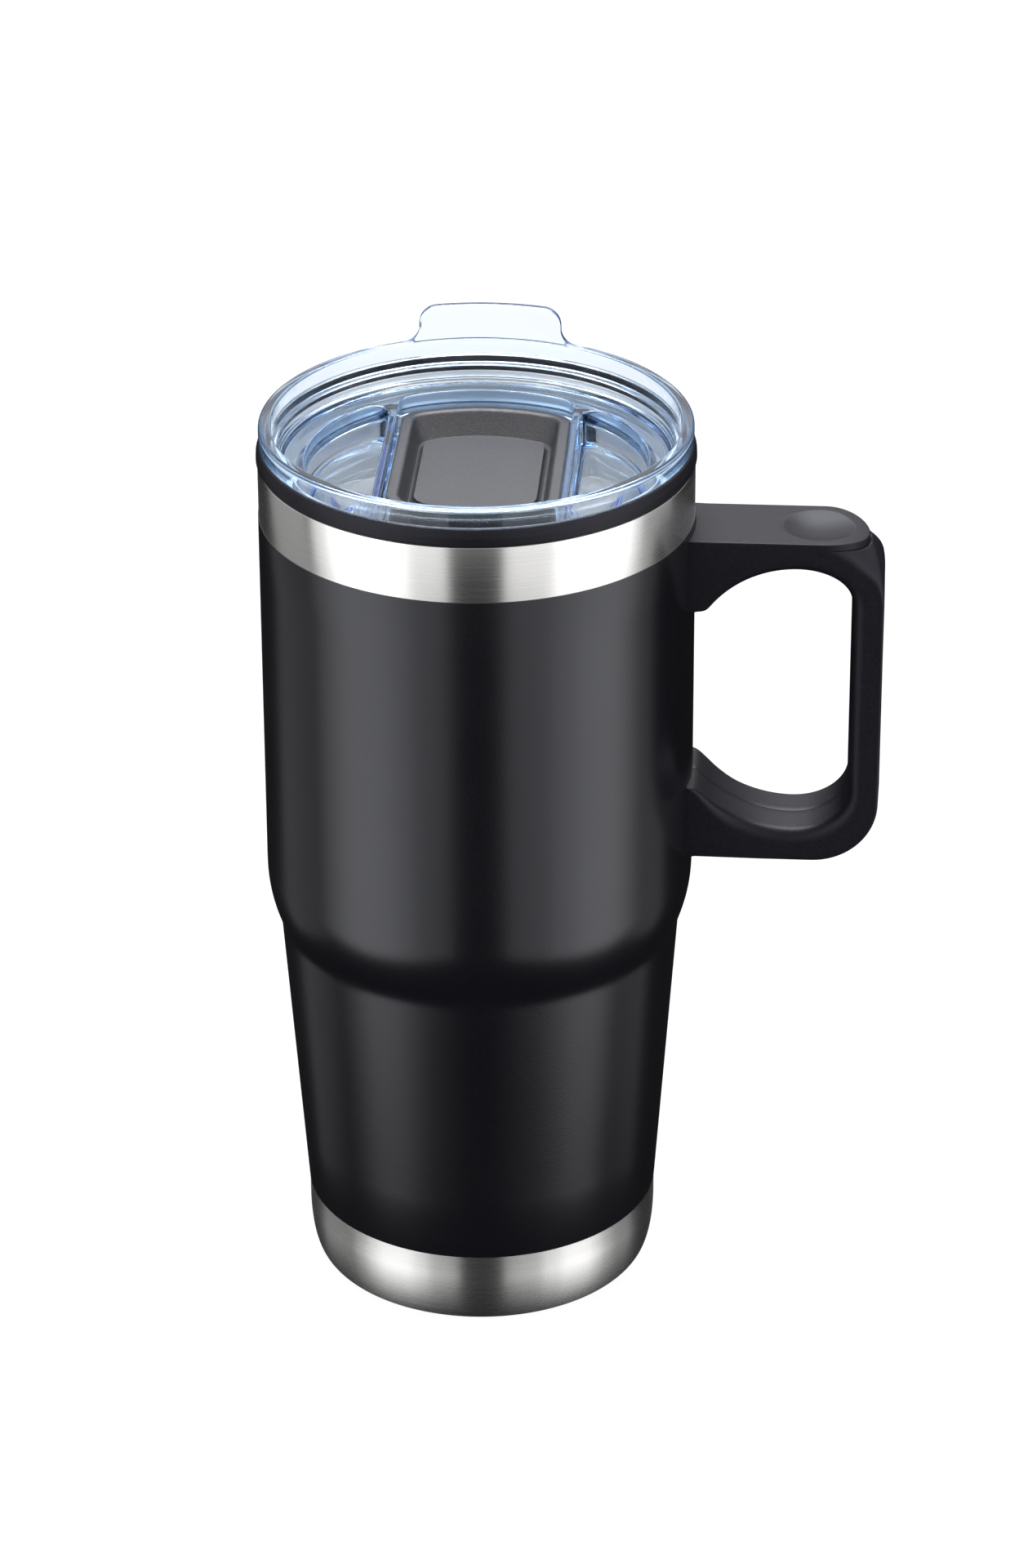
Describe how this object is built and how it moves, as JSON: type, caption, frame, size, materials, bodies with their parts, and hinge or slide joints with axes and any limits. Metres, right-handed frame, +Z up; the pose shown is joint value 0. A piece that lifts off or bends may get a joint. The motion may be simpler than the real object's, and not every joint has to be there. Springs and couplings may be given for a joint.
{
  "type": "travel tumbler",
  "caption": "Tall double-walled steel travel tumbler with a narrow base, a side D handle, a clear push-on lid with a lift tab, and a sliding drink closure.",
  "frame": {"origin": "centre of the base, in the plane that the tumbler stands on, on the axis of the body", "axes": "+Z up along the body's axis, +X towards the handle, +Y towards the lid's lift tab, -Y towards the sip opening"},
  "size_m": [0.1268, 0.0886, 0.1981],
  "materials": {
    "shell_steel": "satin",
    "powder_coat": "matte",
    "liner_steel": "satin",
    "cap_steel": "satin",
    "collar_plastic": "satin",
    "bracket_steel": "satin",
    "handle_plastic": "satin",
    "plate_plastic": "satin",
    "screw_steel": "satin",
    "plug_plastic": "satin",
    "gasket_silicone": "satin",
    "clear_plastic": "polished",
    "slider_plastic": "satin",
    "seal_silicone": "satin"
  },
  "bodies": {
    "tumbler": {"outer_shell": "shell_steel", "powder_coat": "powder_coat", "inner_liner": "liner_steel", "base_cap": "cap_steel", "rim_collar": "collar_plastic", "upper_bracket": "bracket_steel", "lower_bracket": "bracket_steel", "handle_front": "handle_plastic", "handle_back": "handle_plastic", "thumb_plate": "plate_plastic", "upper_screw": "screw_steel", "lower_screw": "screw_steel", "upper_screw_cap": "plug_plastic", "lower_screw_cap": "plug_plastic"},
    "gasket": {"lid_gasket": "gasket_silicone"},
    "lid": {"lid_body": "clear_plastic"},
    "closure": {"slider": "slider_plastic", "slider_seal": "seal_silicone"}
  },
  "joints": [
    {"name": "lid_lift", "type": "slide", "parent": "tumbler", "child": "gasket", "axis": [0, 0, 1], "range_m": [0, 0.06]},
    {"name": "lid_turn", "type": "hinge", "parent": "gasket", "child": "lid", "pos_m": [0, 0, 0.186], "axis": [0, 0, 1], "continuous": true},
    {"name": "slider_slide", "type": "slide", "parent": "lid", "child": "closure", "axis": [0, -1, 0], "range_m": [0, 0.016]}
  ]
}
